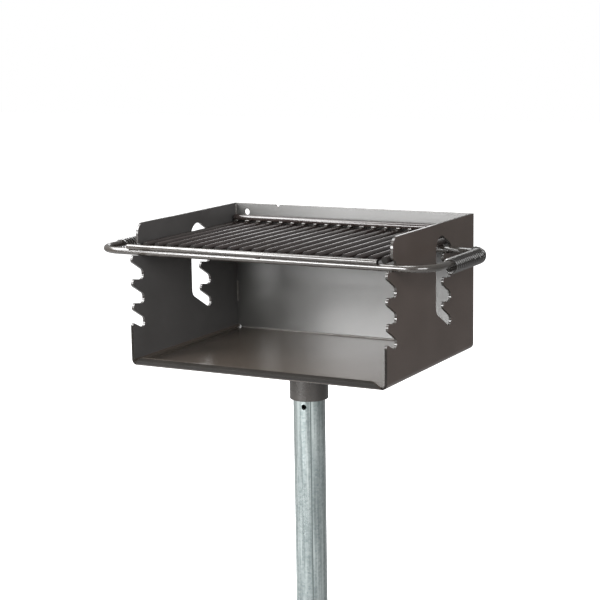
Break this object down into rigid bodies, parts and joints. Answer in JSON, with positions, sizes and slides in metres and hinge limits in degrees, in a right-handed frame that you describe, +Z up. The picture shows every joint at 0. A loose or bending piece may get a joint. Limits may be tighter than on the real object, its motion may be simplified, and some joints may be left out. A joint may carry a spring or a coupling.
{
  "type": "pedestal charcoal grill",
  "caption": "Park charcoal grill: an open-fronted steel firebox that turns on a ground-set pipe post, with a hooked cooking grate in stepped notches and coil-grip handles.",
  "frame": {"origin": "on the post's axis, at the ground line", "axes": "+Z up along the post, +X to the right of someone facing the open front, +Y towards the firebox's back panel"},
  "size_m": [0.7048, 0.3942, 1.3258],
  "materials": {
    "galvanised_pipe": "hot-dip galvanised, dull grey with a faint spangle",
    "painted_sheet": "black heat-proof paint, semi-gloss",
    "painted_rod": "black heat-proof paint over drawn rod, semi-gloss",
    "spring_wire": "black painted spring wire, gloss"
  },
  "bodies": {
    "post": {"post": "galvanised_pipe"},
    "firebox": {"collar": "painted_sheet", "collar_weld": "painted_sheet", "firebox_shell": "painted_sheet", "back_panel": "painted_sheet", "back_seam_welds": "painted_sheet"},
    "grate": {"handle_loop": "painted_rod", "loop_weld": "painted_rod", "stop_rod": "painted_rod", "cooking_rod_01": "painted_rod", "cooking_rod_02": "painted_rod", "cooking_rod_03": "painted_rod", "cooking_rod_04": "painted_rod", "cooking_rod_05": "painted_rod", "cooking_rod_06": "painted_rod", "cooking_rod_07": "painted_rod", "cooking_rod_08": "painted_rod", "cooking_rod_09": "painted_rod", "cooking_rod_10": "painted_rod", "cooking_rod_11": "painted_rod", "cooking_rod_12": "painted_rod", "cooking_rod_13": "painted_rod", "cooking_rod_14": "painted_rod", "cooking_rod_15": "painted_rod", "cooking_rod_16": "painted_rod", "cooking_rod_17": "painted_rod", "cooking_rod_18": "painted_rod", "cooking_rod_19": "painted_rod", "rear_bar": "painted_rod", "stop_rod_welds": "painted_rod", "rear_bar_welds": "painted_rod", "rear_leg_welds": "painted_rod", "coil_grip_left": "spring_wire", "coil_grip_right": "spring_wire"}
  },
  "joints": [
    {"name": "firebox_swivel", "type": "hinge", "parent": "post", "child": "firebox", "pos_m": [0, 0, 0.61], "axis": [0, 0, 1], "continuous": true},
    {"name": "grate_unhook", "type": "slide", "parent": "firebox", "child": "grate", "axis": [0, -0.8763, 0.4818], "range_m": [0, 0.04]}
  ]
}
